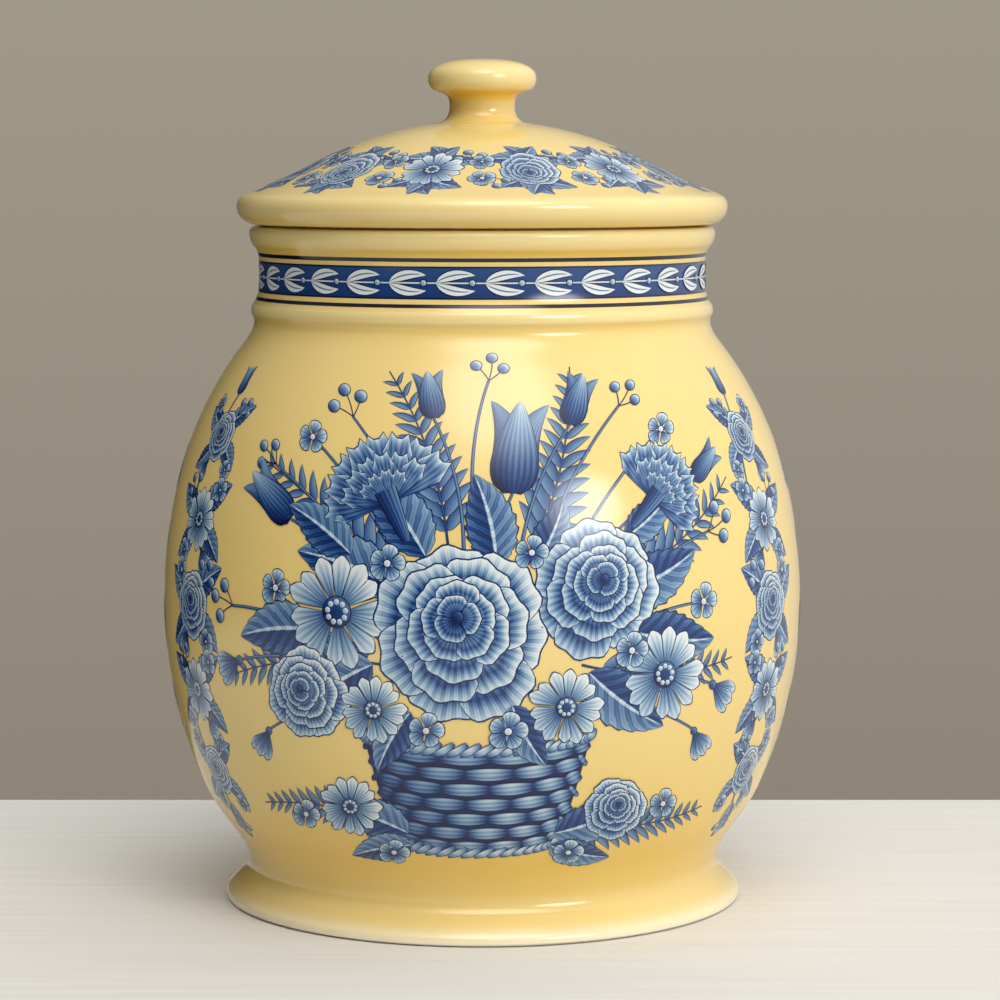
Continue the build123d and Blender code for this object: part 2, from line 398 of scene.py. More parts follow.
inner_equator = (equator[0] - belly_wall, equator[1])
inner_belly_top = inset(belly_top, high_heading)
inner_shoulder = inset(shoulder_end, shoulder_heading)
inner_haunch = inset(haunch, low_heading)
inner_foot = inset(belly_foot, haunch_heading)
floor_corner = inner_foot + haunch_heading * (floor_z - inner_foot[1]) / haunch_heading[1]
inner_upper, inner_heading = arc(inner_equator, inner_belly_top, up)
inner_arc, _ = arc(inner_belly_top, inner_shoulder, inner_heading)
inner_arc = inner_arc[inner_arc[:, 0] > mouth_radius + 0.0005]
bore_top, bore_foot = (mouth_radius, seat_z), (mouth_radius, inner_arc[-1][1] + 0.0006)
inner_lower, inner_low_heading = arc(inner_equator, inner_haunch, down)
jar_inside = joined(
    path(rim_top, land_edge, bore_top, bore_foot, inner_arc[-1]),
    inner_arc[::-1],
    inner_upper[::-1],
    inner_lower,
    arc(inner_haunch, inner_foot, inner_low_heading)[0],
    line(inner_foot, floor_corner),
    line(floor_corner, (0, floor_z), 0.004),
)
jar_outline = joined(jar_outside, jar_inside)
for corner, reach in (
    (rim_top, 0.0006),
    (land_edge, 0.0004),
    (bore_top, 0.0016),
    (bore_foot, 0.0026),
    (tuple(floor_corner), 0.0042),
):
    jar_outline = soften(jar_outline, corner, reach)
jar_surface = Turned(jar_outline, uneven=(0.004, rim_foot[1]))
foot_bare = (jar_surface.find((recess_radius, wipe_inside)), jar_surface.find((foot_radius, wipe_outside)))
land_bare = (jar_surface.find(land_edge), jar_surface.find((mouth_radius + wipe_margin, seat_z)))
jar = turned_piece("glazed_jar", jar_surface, glaze, bare=(foot_bare, land_bare))
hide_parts("jar_body")
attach(jar, "jar")

# Neck border
# A printed band round the neck, laid on as a wet transfer before the glaze: a cobalt stripe with pairs of
# white laurel leaves and berries, between two thin near-black lines.

class Transfer:
    """A printed transfer: shaded patches on a flat sheet in millimetres, each a hair above the last.

    A tone runs from 0, near-black, over blues to 1, white. Headings run clockwise from straight up."""

    line_tone, line_width = 0.07, 0.24
    first_lift, lift_step = 2.0e-5, 0.56e-5
    most_strokes = 24
    cell, stack_square = 1.4, 2.0
    light_from = radians(45)

    def __init__(self):
        self.patches = []
        self.stacked = {}
        self.place(0.0, 0.0)

    def place(self, x, y, heading=0.0, side=1):
        """Moves the pen: what follows is drawn from there, at a heading, and mirrored where side is -1."""
        self.x, self.y, self.heading, self.side = x, y, heading, side

    def patch(self, x, y, tone, strokes=0.0):
        """A grid of points in rows, each with its tone and strokes, laid over all that is there already."""
        x, y, tone, strokes = np.broadcast_arrays(x, y, tone, strokes)
        x = x * self.side
        across = self.x + x * cos(self.heading) + y * sin(self.heading)
        up = self.y - x * sin(self.heading) + y * cos(self.heading)
        columns, rows = (np.floor(place / self.stack_square).ravel().tolist() for place in (across, up))
        squares = set(zip(columns, rows))
        layer = 1 + max(self.stacked.get(square, 0) for square in squares)
        self.stacked.update(dict.fromkeys(squares, layer))
        self.patches.append((across, up, tone, strokes, layer))

    def lit(self, angle):
        """How much a slope that faces an angle of the drawing is turned to the light, from -1 to 1."""
        return np.cos(self.side * angle + self.heading - self.light_from)

    def blade(self, start, end, bend, half, tone, ribs=(), strokes=None, rows=10):
        """A patch along a curve that bows to its right by a share of its length, with dark edges.

        half gives its half width, and tone and strokes its shading, at shares t along and v across it."""
        length = hypot(end[0] - start[0], end[1] - start[1])
        t = np.linspace(0, 1, max(rows, ceil(1.2 * length / self.cell)))[:, None]
        x, y, run_x, run_y = curve(start, end, bend, t)
        wide = half(t) + 0.03
        edge = 1 - min(self.line_width / wide.max(), 0.4)
        inner = np.linspace(0.03 - edge, edge - 0.03, max(5, ceil(2 * wide.max() / self.cell)))
        v = np.sort(np.concatenate(((-1.0, -edge, edge, 1.0), inner, ribs)))[None, :]
        shade = np.where(np.abs(v) > edge - 0.01, self.line_tone, tone(t, v))
        self.patch(x + run_y * wide * v, y - run_x * wide * v, shade, strokes(t, v) if strokes else 0.0)

    def petal(self, root, heading, length, spread, shades, start=0.06, ruffle=0.03, waves=3, strokes=4.0):
        """A patch that fans out from its root, seen from a share of its length on, with dark edges."""
        rim, side_rim = min(self.line_width / length, 0.2), min(self.line_width / (length * spread), 0.3)
        sizes = (length * (1 - start), 1.7 * length * spread)
        rows, columns = (max(8, ceil(size / self.cell)) for size in sizes)
        u = np.concatenate((np.linspace(start, 0.985 - rim, rows), (1 - rim, 1.0)))[:, None]
        inner = np.linspace(side_rim - 0.97, 0.97 - side_rim, columns)
        v = np.concatenate(((-1.0, side_rim - 1), inner, (1 - side_rim, 1.0)))[None, :]
        angle = heading + spread * v * (0.42 + 0.58 * np.sin(pi / 2 * np.minimum(u / 0.75, 1)))
        reach = length * u * (1 - 0.10 * v**2 - 0.14 * v**4 + ruffle * np.cos(waves * pi * v))
        shade = np.interp(u, np.linspace(0.06, 0.985 - rim, len(shades)), shades) + 0.07 * self.lit(angle)
        shade = np.where((u > 1 - 1.01 * rim) | (np.abs(v) > 1 - 1.01 * side_rim), self.line_tone, shade)
        self.patch(root[0] + reach * np.sin(angle), root[1] + reach * np.cos(angle), shade, strokes * v)

    def ring(self, count, turn, root, length, spread, shades, **looks):
        """Petals all round a root, every other one in front of its neighbours."""
        for k in (*range(0, count, 2), *range(1, count, 2)):
            uneven = sin(2.4 * k + 3 * turn)
            heading = turn + 2 * pi * k / count + 0.05 * uneven
            self.petal(root, heading, length * (1 + 0.05 * uneven), spread, shades, **looks)

    def disc(self, centre, radius, dark, pale, outlined=True):
        """A round patch that is pale towards the light, such as a berry or a dot."""
        rim = min(self.line_width / radius, 0.3) if outlined else 0.02
        u = np.array((0.03, 0.35, 0.7, 0.98 - rim, 1 - rim, 1.0))[:, None]
        angle = np.linspace(0, 2 * pi, max(11, ceil(2 * pi * radius / 0.5)))[None, :]
        shade = dark + (pale - dark) * np.clip(0.5 + 0.7 * u * self.lit(angle), 0, 1)
        if outlined:
            shade = np.where(u > 0.99 - rim, self.line_tone, shade)
        self.patch(centre[0] + radius * u * np.sin(angle), centre[1] + radius * u * np.cos(angle), shade)

    def lay(self, name, surface, spot):
        """The mesh of the transfer on a surface, where spot gives the azimuth and along of sheet places."""
        places, normals, faces, tints = [], [], [], []
        count = 0
        for x, y, tone, strokes, layer in self.patches:
            place, normal = surface.at(*spot(x, y), self.first_lift + self.lift_step * layer)
            rank = np.arange(x.size).reshape(x.shape)
            quads = np.stack((rank[:-1, :-1], rank[:-1, 1:], rank[1:, 1:], rank[1:, :-1]), -1)
            quads = quads.reshape(-1, 4)
            area = np.gradient(x)[1] * np.gradient(y)[0] - np.gradient(x)[0] * np.gradient(y)[1]
            if area.sum() < 0:
                quads = quads[:, ::-1]
            row_share, column_share = np.indices(x.shape) / np.array(x.shape)[:, None, None]
            tint = np.stack((0.01 + 0.97 * np.clip(tone, 0, 1) + 0.01 * column_share,
                             0.5 + strokes / self.most_strokes + 0.01 * row_share), -1)
            places.append(place.reshape(-1, 3))
            normals.append(normal.reshape(-1, 3))
            faces.append(quads + count)
            tints.append(tint.reshape(-1, 2)[quads.ravel()])
            count += x.size
        mesh = bpy.data.meshes.new(name)
        mesh.from_pydata(np.concatenate(places), [], np.concatenate(faces).tolist())
        mesh.shade_smooth()
        tints = np.concatenate(tints).astype(np.float32)
        mesh.uv_layers.new(name="OFBake").uv.foreach_set("vector", tints.ravel())
        mesh.normals_split_custom_set_from_vertices(np.concatenate(normals).tolist())
        mesh.materials.append(print_finish.material)
        return in_scene(name, mesh)


def curve(start, end, bend, t):
    """Places on a curve and its headings there. It bows to its right by a share of its length."""
    (ax, ay), (bx, by) = start, end
    mid_x, mid_y = (ax + bx) / 2 + bend * (by - ay), (ay + by) / 2 - bend * (bx - ax)
    x = (1 - t) ** 2 * ax + 2 * t * (1 - t) * mid_x + t**2 * bx
    y = (1 - t) ** 2 * ay + 2 * t * (1 - t) * mid_y + t**2 * by
    run_x = 2 * (1 - t) * (mid_x - ax) + 2 * t * (bx - mid_x)
    run_y = 2 * (1 - t) * (mid_y - ay) + 2 * t * (by - mid_y)
    length = np.hypot(run_x, run_y)
    return x, y, run_x / length, run_y / length


print_blues = (
    (0.00, (0.003, 0.005, 0.012)),
    (0.14, (0.005, 0.014, 0.075)),
    (0.34, (0.012, 0.050, 0.185)),
    (0.55, (0.080, 0.163, 0.310)),
    (0.74, (0.180, 0.300, 0.440)),
    (0.88, (0.400, 0.510, 0.600)),
    (1.00, (0.745, 0.765, 0.740)),
)
print_finish = Finish("blue_print_under_glaze", IOR=1.52, Roughness=0.135)
sheet_place = print_finish.node("ShaderNodeUVMap", {"uv_map": "OFBake"})
tone = print_finish.node("ShaderNodeSeparateXYZ", None, {0: sheet_place}, output="X")
stroke = print_finish.node("ShaderNodeSeparateXYZ", None, {0: sheet_place}, output="Y")
hatching = print_finish.node("ShaderNodeMath", {"operation": "SINE"},
                             {0: stroke * (2 * pi * Transfer.most_strokes)})
fine_hatching = print_finish.node("ShaderNodeMath", {"operation": "SINE"},
                                  {0: stroke * (6 * pi * Transfer.most_strokes)})
tone = tone + (0.42 * hatching + 0.26 * fine_hatching) * tone * (1 - tone)
colour = print_finish.node("ShaderNodeValToRGB", {"stops": print_blues}, {"Fac": tone})
print_finish.give(Base_Color=colour)

line_heights = (-7.6, 4.5)
line_half = 0.52
band_low, band_high = -5.75, 2.85
band_edge = 0.4
leaf_pairs = 30
neck_radius = neck_waist[0]
neck_middle = jar_surface.find(neck_waist)


def on_neck(x, y):
    return x / (1000 * neck_radius), neck_middle + y / 1000


neck_border = Transfer()
all_round = np.linspace(-pi, pi, 361)[None, :] * 1000 * neck_radius
for height in line_heights:
    neck_border.patch(all_round, height + np.linspace(-line_half, line_half, 3)[:, None], 0.0)
inside_band = np.linspace(band_low + 1.2 * band_edge, band_high - 1.2 * band_edge, 10)
band = np.concatenate(((band_low, band_low + band_edge), inside_band, (band_high - band_edge, band_high)))
band_tones = np.concatenate(((0.04, 0.04), np.linspace(0.20, 0.30, 10), (0.04, 0.04)))
neck_border.patch(all_round, band[:, None], band_tones[:, None])
pair_pitch = 2000 * pi * neck_radius / leaf_pairs
band_middle = (band_low + band_high) / 2
for pair in range(leaf_pairs):
    neck_border.place((pair + 0.5 - leaf_pairs / 2) * pair_pitch, band_middle)
    neck_border.blade((-pair_pitch / 2, 0), (pair_pitch / 2, 0), 0,
                      lambda t: 0.30 + 0 * t, lambda t, v: 0.92 + 0 * t * v)
    for side in (-1, 1):
        neck_border.blade((-5.2, side * 0.3), (4.9, side * 2.0), side * -0.19,
                          lambda t: 1.45 * np.sin(pi * t**0.8) ** 0.8,
                          lambda t, v: 0.98 - 0.55 * (np.abs(v) < 0.12) * (t < 0.8),
                          (-0.16, -0.1, 0.1, 0.16))
    neck_border.disc((4.2, 0.0), 1.0, 0.6, 0.98)
neck_print = neck_border.lay("neck_border_print", jar_surface, on_neck)
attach(neck_print, "jar")

# Flower baskets
# The two large prints on the belly, front and back: a wicker basket with garden flowers and ferns standing
# out of it, engraved in tones of blue with white lights. They are transfers, as the border is.

def leaf(sheet, length, dark=0.24, pale=0.50, wide=0.26, bend=0.10, teeth=8):
    """A toothed leaf with a white midrib, one half of it in shade, and strokes for its side veins."""
    sheet.blade((0, 0), (0, length), bend,
                lambda t: length * wide * np.sin(pi * t**0.75) ** 0.85 * (1 + 0.16 * (teeth * t % 1)),
                lambda t, v: np.where(np.abs(v) < 0.07, 0.90, np.where(v < 0, dark, pale) + 0.24 * v * v),
                (-0.10, -0.05, 0.05, 0.10), lambda t, v: 7 * t - 1.7 * np.abs(v), 4 * teeth + 1)


def frond(sheet, length, bend=0.12, pairs=12):
    """A fern frond: narrow leaflets in pairs along a bowed stalk."""
    for k in range(pairs):
        t = 0.12 + 0.86 * k / pairs
        x, y, run_x, run_y = curve((0, 0), (0, length), bend, t)
        reach = length * 0.24 * (1 - 0.75 * t) * min(1, 0.5 + 3 * t)
        for side in (-1, 1):
            tip = (x + reach * (0.75 * run_x + side * 0.85 * run_y),
                   y + reach * (0.75 * run_y - side * 0.85 * run_x))
            sheet.blade((x, y), tip, -0.12 * side, lambda s: 0.17 * reach * np.sin(pi * s**0.7) ** 0.8,
                        lambda s, v: 0.40 + 0.20 * v * side + 0.1 * s, rows=7)
    sheet.blade((0, 0), (0, length), bend, lambda t: 0.34 - 0.2 * t, lambda t, v: 0.30 + 0 * t * v)


def rose(sheet, size):
    """A full rose: rings of petals with dark roots and pale lips that curl over, round a tight heart."""
    shades = (0.05, 0.12, 0.22, 0.34, 0.44, 0.52, 0.30, 0.78, 0.96)
    sheet.disc((0, 0.1 * size), 0.45 * size, 0.03, 0.10, outlined=False)
    rings = ((7, 1.0, 0.62), (6, 0.80, 0.66), (5, 0.61, 0.76), (5, 0.45, 0.80), (3, 0.28, 1.10))
    for k, (count, reach, spread) in enumerate(rings):
        sheet.ring(count, 0.45 * k, (0, 0.05 * k * size), reach * size, spread, shades,
                   start=0.06 if k == len(rings) - 1 else 0.4, strokes=5)
    sheet.disc((0, 0.21 * size), 0.07 * size, 0.04, 0.35)


def daisy(sheet, size):
    """A daisy: long white petals round a dark eye that is set with pale dots."""
    sheet.ring(14, 0.1, (0, 0), size, 0.235, (0.12, 0.40, 0.66, 0.84, 0.96),
               start=0.2, ruffle=0.02, waves=2, strokes=1.5)
    sheet.disc((0, 0), 0.29 * size, 0.06, 0.40)
    for k in range(9):
        angle = 2 * pi * k / 9
        dot = (0.18 * size * sin(angle), 0.18 * size * cos(angle))
        sheet.disc(dot, 0.052 * size, 0.7, 1.0, outlined=False)


def blossom(sheet, size):
    """A small flower of five round petals."""
    sheet.ring(5, 0.2, (0, 0), size, 0.60, (0.14, 0.38, 0.68, 0.92), ruffle=0.0, strokes=2)
    sheet.disc((0, 0), 0.22 * size, 0.85, 1.0)


def carnation(sheet, size):
    """A carnation from the side: three fans of fringed petals over a slim cup."""
    for count, reach, fan in ((8, 1.0, 1.25), (6, 0.74, 1.0), (4, 0.5, 0.7)):
        for k in (*range(0, count, 2), *range(1, count, 2)):
            sheet.petal((0, 0), fan * (2 * k / (count - 1) - 1), reach * size, 0.30,
                        (0.10, 0.22, 0.36, 0.52, 0.36, 0.90), ruffle=0.07, waves=5, strokes=3)
    sheet.blade((0, -0.55 * size), (0, 0.22 * size), 0, lambda t: size * (0.05 + 0.12 * t**0.7),
                lambda t, v: 0.34 + 0.26 * v + 0 * t, strokes=lambda t, v: 2.5 * v)


def tulip(sheet, size):
    """A tulip from the side: a pair of pointed petals behind and a broad one in front."""
    for lean, wide, pale in ((-0.30, 0.20, 0.66), (0.30, 0.20, 0.78), (0.0, 0.25, 0.95)):
        sheet.blade((lean * 0.3 * size, 0), (lean * size, size * (1 - 0.06 * abs(lean))), -0.9 * lean,
                    lambda t: size * wide * np.sin(pi * t**0.55) ** 0.75,
                    lambda t, v: 0.20 + (pale - 0.20) * t**1.1 - 0.16 * np.abs(v) + 0.12 * v,
                    (-0.05, 0.05), lambda t, v: 4 * v, 16)


def bell(sheet, size):
    """A bell flower that hangs along its heading, with a scalloped mouth."""
    for k in (0, 2, 1):
        sheet.petal((0, 0), 0.34 * (k - 1), size, 0.30, (0.14, 0.28, 0.46, 0.66, 0.95),
                    ruffle=0.05, waves=1, strokes=2)
    sheet.disc((0, 0.06 * size), 0.14 * size, 0.2, 0.5)


def berries(sheet, size):
    """Three berries on short stalks."""
    for lean, reach in ((-0.7, 1.0), (0.05, 1.25), (0.75, 0.95)):
        end = (reach * size * sin(lean), reach * size * cos(lean))
        sheet.blade((0, 0), end, 0.1, lambda t: 0.14 + 0 * t, lambda t, v: 0.12 + 0 * t * v)
        sheet.disc(end, 0.30 * size, 0.18, 0.92)


def basket(sheet, width, height, columns=13, rows=7):
    """A wicker basket, wider at its rim: strands over and under upright canes, and plaited edges."""
    turns = np.radians(np.linspace(-84, 84, columns + 1))

    def side(turn, t):
        return width * (0.34 + 0.16 * t**0.8) * np.sin(turn), height * t - 0.07 * width * np.cos(turn)

    t = np.linspace(0, 1, 24)[:, None]
    sheet.patch(*side(np.linspace(turns[0], turns[-1], 50)[None, :], t), 0.08)
    for row in range(rows):
        for k in range(row % 2, columns + 1, 2):
            ends = [side(turns[min(max(k + step, 0), columns)], (row + 0.5) / rows) for step in (-1, 1)]
            glow = 0.45 + 0.45 * cos(turns[k] - 0.5)
            sheet.blade(*ends, 0.05 * cos(turns[k]),
                        lambda t: 0.44 * height / rows * np.sin(pi * (0.12 + 0.76 * t)) ** 0.5,
                        lambda t, v: glow * (0.92 - 0.72 * np.abs(2 * t - 1) ** 2) - 0.12 * v,
                        strokes=lambda t, v: 1.5 * v + 0 * t, rows=9)
    for level, plaits in ((0.0, 18), (1.0, 26)):
        for k in range(plaits):
            turn = radians(-82 + 164 * k / (plaits - 1))
            x, y = side(turn, level)
            lean = width * 0.045 * (0.25 + 0.75 * cos(turn))
            shine = 0.6 + 0.4 * cos(turn - 0.5)
            sheet.blade((x - lean, y - 1.5), (x + lean, y + 1.7), 0.12,
                        lambda t: 1.15 * np.sin(pi * (0.1 + 0.8 * t)) ** 0.6,
                        lambda t, v: 0.34 + 0.50 * np.sin(pi * t) * shine - 0.15 * v, rows=8)


def stalk(sheet, start, end):
    """A thin stalk that leaves upright and leans over to its flower."""
    sheet.place(0.0, 0.0)
    sheet.blade(start, end, 0.14 if end[0] < start[0] else -0.14, lambda t: 0.52 - 0.16 * t,
                lambda t, v: 0.46 + 0.25 * v + 0 * t)


def draw(sheet, motifs, side=1):
    """Draws each motif of a list, from the back to the front, mirrored where side is -1."""
    for motif, x, y, heading, size in motifs:
        sheet.place(side * x, y, side * radians(heading), side)
        motif(sheet, size)


def on_belly(azimuth):
    """Puts a sheet on the belly, with its middle on the widest line, at an azimuth in degrees."""
    middle = jar_surface.find(equator)

    def spot(x, y):
        along = middle + y / 1000
        return radians(azimuth) + x / 1000 / np.interp(along, jar_surface.along, jar_surface.radius), along

    return spot


# Each motif of the basket: the place of its root on the sheet, its heading in degrees and its size
basket_size = (60, 31)
basket_foot = (-1, -55)
basket_ferns = (
    (frond, -18, 10, -52, 58), (frond, -8, 22, -18, 52), (frond, 12, 20, 12, 54),
    (frond, 26, 10, 58, 56), (frond, 26, -6, 92, 48), (frond, -24, -6, -98, 52),
    (frond, -20, -50, -88, 44), (frond, 20, -50, 90, 46),
)
basket_stalked = (
    (berries, -34, 58, -24, 6.5), (berries, 65, 26, 62, 6.5), (berries, 2, 69, 4, 5.5),
    (berries, -73, 6, -80, 6.5), (berries, -58, 44, -50, 5.5), (berries, 37, 61, 30, 5.5),
    (tulip, -52, 30, -52, 19), (tulip, 23, 56, 16, 15), (tulip, -12, 58, -8, 14),
    (tulip, 60, 40, 52, 13), (blossom, -57, 12, 0, 5.0), (blossom, 63, 8, 0, 5.0),
    (blossom, -46, 52, 0, 4.6), (blossom, 50, 54, 0, 4.6), (bell, 66, -14, 125, 10),
    (bell, 60, -26, 150, 9), (bell, -70, -8, -115, 10), (bell, -60, -26, -150, 9),
)
basket_tall = ((carnation, -23, 35, -24, 18.5), (tulip, 8, 38, 5, 25), (carnation, 46, 35, 44, 15.5))
basket_leaves = (
    (leaf, -22, 14, -74, 29), (leaf, -14, 22, -38, 26), (leaf, 4, 20, -14, 24), (leaf, 36, 12, 68, 26),
    (leaf, 40, 2, 98, 27), (leaf, -44, 2, -98, 26), (leaf, -28, -6, -124, 27), (leaf, 28, -8, 126, 27),
    (leaf, 14, 20, 24, 18), (leaf, -34, 22, -58, 22), (leaf, 38, 26, 52, 18), (leaf, -19, -53, -72, 22),
    (leaf, 19, -53, 70, 22), (leaf, -18, -57, -108, 18), (leaf, 18, -57, 110, 18),
)
basket_blooms = (
    (daisy, -38, 7, 0, 14.5), (rose, 30, 13, 40, 17.5), (rose, -47, -15, -60, 12.5),
    (daisy, 50, -10, 0, 12.5), (rose, -5, 2, -10, 23), (leaf, 8, -16, 152, 19),
    (leaf, -18, -18, -152, 19), (daisy, 22, -17, 0, 10), (daisy, -28, -18, 0, 9),
    (blossom, -14, -23, 0, 5.0), (blossom, 7, -23, 0, 5.4), (blossom, 40, -3, 0, 5.0),
    (blossom, -24, 20, 0, 5.0), (blossom, 13, 23, 0, 4.6), (daisy, -35, -46, 0, 9),
    (rose, 36, -47, 30, 9.5), (blossom, -49, -50, 0, 4.8), (blossom, 51, -47, 0, 4.8),
    (blossom, -23, -60, 0, 4.6), (blossom, 23, -60, 0, 4.6),
)

for name, azimuth in (("front_basket_print", 0), ("back_basket_print", 180)):
    flowers = Transfer()
    draw(flowers, basket_ferns)
    for _, x, y, _, _ in basket_stalked + basket_tall:
        stalk(flowers, (0.4 * x, 0.35 * y - 6), (x, y))
    draw(flowers, basket_stalked)
    flowers.place(*basket_foot)
    basket(flowers, *basket_size)
    draw(flowers, basket_leaves)
    draw(flowers, basket_tall)
    draw(flowers, basket_blooms)
    basket_print = flowers.lay(name, jar_surface, on_belly(azimuth))
    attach(basket_print, "jar")

# Side trails
# Narrow trails of flowers that hang down the flanks of the belly, and a shorter spray between each two.

trail_heights = (50, 27, 4, -19, -42)
trail_sizes = (0.85, 1.0, 1.1, 1.0, 0.85)
trail_flowers = [(tulip, 0, 62, 4, 9), (leaf, 0, -52, 172, 11), (berries, 0, -56, 180, 5)]
for k, (y, size) in enumerate(zip(trail_heights, trail_sizes)):
    lean = (-1) ** k
    trail_flowers += [
        (leaf, 2, y + 2, 62, 14 * size), (leaf, -2, y + 3, -58, 14 * size),
        (leaf, 3, y - 3, 128, 13 * size), (leaf, -3, y - 2, -132, 13 * size),
        (berries, -5 * lean, y + 6, -40 * lean, 5 * size),
        (bell, 3 * lean, y - 7, 150 * lean, 7 * size), (blossom, 8.5 * lean, y + 8.5, 0, 3.6 * size),
        (blossom, -8 * lean, y - 9, 0, 3.4 * size), ((rose, daisy)[k % 2], 0, y, 30 * lean, 8.4 * size),
    ]
spray_flowers = (
    (leaf, 0, -40, 50, 21), (leaf, 0, -36, -52, 21), (leaf, 0, -20, 44, 21), (leaf, 0, -14, -46, 20),
    (leaf, 0, 2, 40, 18), (leaf, 0, 6, -42, 17), (carnation, 0, 32, 0, 14), (daisy, 7, 15, 0, 7),
    (rose, -7, -4, -30, 7.6), (daisy, 7, -26, 0, 7), (blossom, -8, 19, 0, 3.8),
    (blossom, 9, -10, 0, 3.8), (blossom, -9, -26, 0, 3.8), (berries, -1, -46, 200, 6),
    (berries, 1, -46, 150, 6),
)

for name, azimuth, motifs, low, high in (
    ("right_front_trail_print", 61, trail_flowers, -54, 62),
    ("right_spray_print", 90, spray_flowers, -47, 30),
    ("right_back_trail_print", 119, trail_flowers, -54, 62),
    ("left_front_trail_print", -61, trail_flowers, -54, 62),
    ("left_spray_print", -90, spray_flowers, -47, 30),
    ("left_back_trail_print", -119, trail_flowers, -54, 62),
):
    side_sheet = Transfer()
    stalk(side_sheet, (0, low), (0, high))
    draw(side_sheet, motifs, 1 if azimuth > 0 else -1)
    side_print = side_sheet.lay(name, jar_surface, on_belly(azimuth))
    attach(side_print, "jar")

# Lid
# A hollow dome of the same earthenware, cast with a half-round edge, and turned to sit flat on the rim.
# The flange underneath goes down into the neck, and has a groove turned in it for the seal.

lid_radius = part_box("lid")[1].x
roll_radius = 0.0035
roll_foot = (lid_radius - 0.0046, seat_z - 0.0004)
roll_side = (lid_radius, seat_z + 0.0046)
roll_centre = (lid_radius - roll_radius, roll_side[1])
roll_end = radians(70)
roll_meet = (roll_centre[0] + roll_radius * cos(roll_end), roll_centre[1] + roll_radius * sin(roll_end))
lid_rise = 0.028
dome_edge_share, dome_drop_share = 0.68, 0.41
dome_top = seat_z + lid_rise
dome_edge = (dome_edge_share * lid_radius, dome_top - dome_drop_share * lid_rise)
dome_wall = 0.0055
flange_radius = 0.0550
flange_inside = 0.0485
flange_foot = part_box("lid")[0].z
seal_low, seal_high = 0.1744, 0.1827
seal_floor = 0.0526
socket_radius = 0.0110
knob_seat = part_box("lid_knob")[0].z

dome_run, dome_heading = arc((0, dome_top), dome_edge, (1.0, 0.0))
brim_run, _ = arc(dome_edge, roll_meet, dome_heading)
dome_run = dome_run[dome_run[:, 0] > socket_radius]
seat_edge = (roll_foot[0] - 0.0010, seat_z)
inner_edge = (flange_inside, dome_edge[1] - dome_wall - 0.0020)
ceiling_run, _ = arc((0, dome_top - dome_wall), inner_edge, (1.0, 0.0))
flange_corners = (
    (flange_inside, flange_foot), (flange_radius, flange_foot), (flange_radius, seal_low),
    (seal_floor, seal_low), (seal_floor, seal_high), (flange_radius, seal_high), (flange_radius, seat_z),
)
flange_rounding = (0.0012, 0.0012, 0.0003, 0.0003, 0.0003, 0.0003, 0.0006)
lid_outline = joined(
    ceiling_run,
    path(inner_edge, *flange_corners, seat_edge, roll_foot),
    arc(roll_side, roll_foot, down)[0][::-1],
    arc(roll_side, roll_meet, up)[0],
    brim_run[::-1],
    dome_run[::-1],
    line(dome_run[0], (socket_radius, knob_seat)),
    line((socket_radius, knob_seat), (0, knob_seat), 0.004),
)
for corner, reach in (
    (inner_edge, 0.0040),
    *zip(flange_corners, flange_rounding),
    (seat_edge, 0.0003),
    (roll_foot, 0.0006),
    (roll_meet, 0.0012),
):
    lid_outline = soften(lid_outline, corner, reach)
lid_surface = Turned(lid_outline, uneven=(seat_z, knob_seat))
seat_bare = (lid_surface.find((flange_radius + wipe_margin, seat_z)),
             lid_surface.find((seat_edge[0] - 2 * wipe_margin, seat_z)))
lid = turned_piece("glazed_lid", lid_surface, glaze, bare=(seat_bare,))
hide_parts("lid")
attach(lid, "lid")

# Lid wreath
# A printed ring of roses, daisies, leaves and berries that lies on the lid's slope, round the knob.

wreath_radius = 49.5
wreath_repeats = 12
wreath_inside = 0.015
wreath_flowers = (
    (leaf, -4, 3, -72, 16), (leaf, 4, 3, 72, 16), (leaf, 4, -3, 108, 15), (leaf, -4, -3, -108, 15),
    (leaf, -3, 4, -34, 12), (leaf, 3, 4, 34, 12), (leaf, 3, -4, 146, 11), (leaf, -3, -4, -146, 11),
    (berries, -11, 3, -20, 5), (berries, 11, -3, 160, 5), (blossom, 13.2, 4.5, 0, 4.0),
    (blossom, 13.2, -4.0, 0, 3.6),
)
slope = (lid_surface.along > lid_surface.find(roll_meet)) & (lid_surface.radius > wreath_inside)
slope_radius, slope_along = lid_surface.radius[slope][::-1], lid_surface.along[slope][::-1]


def on_slope(x, y):
    return np.arctan2(x, -y), np.interp(np.hypot(x, y) / 1000, slope_radius, slope_along)


# The last motif of the wreath, None, is a rose and a daisy by turns
wreath = Transfer()
for motif, across, outward, heading, size in (*wreath_flowers, (None, 0, 0, 20, 8.4)):
    for repeat in range(wreath_repeats):
        azimuth = 2 * pi * (repeat + 0.5) / wreath_repeats
        swing = azimuth + across / wreath_radius
        out = wreath_radius + outward
        wreath.place(out * sin(swing), -out * cos(swing), pi - swing + radians(heading))
        (motif or (rose, daisy)[repeat % 2])(wreath, size)
wreath_print = wreath.lay("lid_wreath_print", lid_surface, on_slope)
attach(wreath_print, "lid")

# Knob
# A small turned knob with a waisted stem and a mushroom cap, stuck to the crown with slip before the
# firing, so that the glaze runs over the joint.

knob_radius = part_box("lid_knob")[1].x
knob_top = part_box("lid_knob")[1].z
stem_radius = 0.0090
stem_high = knob_seat + 0.00564
cap_foot = (stem_radius + 0.0026, stem_high + 0.0030)
cap_widest = (knob_radius, cap_foot[1] + 0.0035)
cap_square = 0.8
flare = 0.0042
dome_drop = dome_top - dome_edge[1]
dome_curve = (dome_edge[0] ** 2 + dome_drop**2) / (2 * dome_drop)

